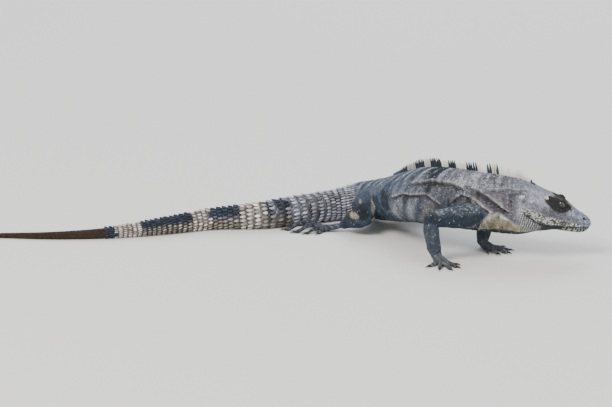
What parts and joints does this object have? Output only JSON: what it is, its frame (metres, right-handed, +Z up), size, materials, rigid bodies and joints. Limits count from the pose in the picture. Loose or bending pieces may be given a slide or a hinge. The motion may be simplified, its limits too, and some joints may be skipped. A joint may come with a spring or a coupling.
{
  "type": "spiny-tailed iguana model",
  "caption": "Life-size still model of an adult spiny-tailed iguana standing on its own feet, head forward, tail in a shallow curve.",
  "frame": {"origin": "on the floor, below the middle of the whole model's box", "axes": "+X towards the snout's side, along the longest extent; +Y towards the animal's left; +Z up"},
  "size_m": [0.8304, 0.3472, 0.1142],
  "materials": {
    "scaly_skin": "matt, finely scaled",
    "pale_ringed_skin": "matt, ringed with keeled scales",
    "regrown_skin": "matt, small even scales",
    "eyeball": "wet gloss",
    "eardrum_skin": "smooth, taut",
    "claw_horn": "polished horn"
  },
  "bodies": {
    "root": {"claw_foot_left_1": "claw_horn", "claw_foot_left_2": "claw_horn", "claw_foot_left_3": "claw_horn", "claw_foot_left_4": "claw_horn", "claw_foot_left_5": "claw_horn", "claw_foot_right_1": "claw_horn", "claw_foot_right_2": "claw_horn", "claw_foot_right_3": "claw_horn", "claw_foot_right_4": "claw_horn", "claw_foot_right_5": "claw_horn", "claw_hand_left_1": "claw_horn", "claw_hand_left_2": "claw_horn", "claw_hand_left_3": "claw_horn", "claw_hand_left_4": "claw_horn", "claw_hand_left_5": "claw_horn", "claw_hand_right_1": "claw_horn", "claw_hand_right_2": "claw_horn", "claw_hand_right_3": "claw_horn", "claw_hand_right_4": "claw_horn", "claw_hand_right_5": "claw_horn", "eardrum_left": "eardrum_skin", "eardrum_right": "eardrum_skin", "eye_left": "eyeball", "eye_right": "eyeball", "foot_left": "scaly_skin", "foot_right": "scaly_skin", "forearm_left": "scaly_skin", "forearm_right": "scaly_skin", "hand_left": "scaly_skin", "hand_right": "scaly_skin", "head": "scaly_skin", "hips": "scaly_skin", "lower_jaw": "scaly_skin", "neck": "scaly_skin", "shank_left": "scaly_skin", "shank_right": "scaly_skin", "tail_1": "scaly_skin", "tail_2": "pale_ringed_skin", "tail_3": "pale_ringed_skin", "tail_4": "pale_ringed_skin", "tail_regrown_1": "regrown_skin", "tail_regrown_2": "regrown_skin", "tail_regrown_3": "regrown_skin", "thigh_left": "scaly_skin", "thigh_right": "scaly_skin", "trunk": "scaly_skin", "upper_arm_left": "scaly_skin", "upper_arm_right": "scaly_skin"}
  },
  "joints": []
}
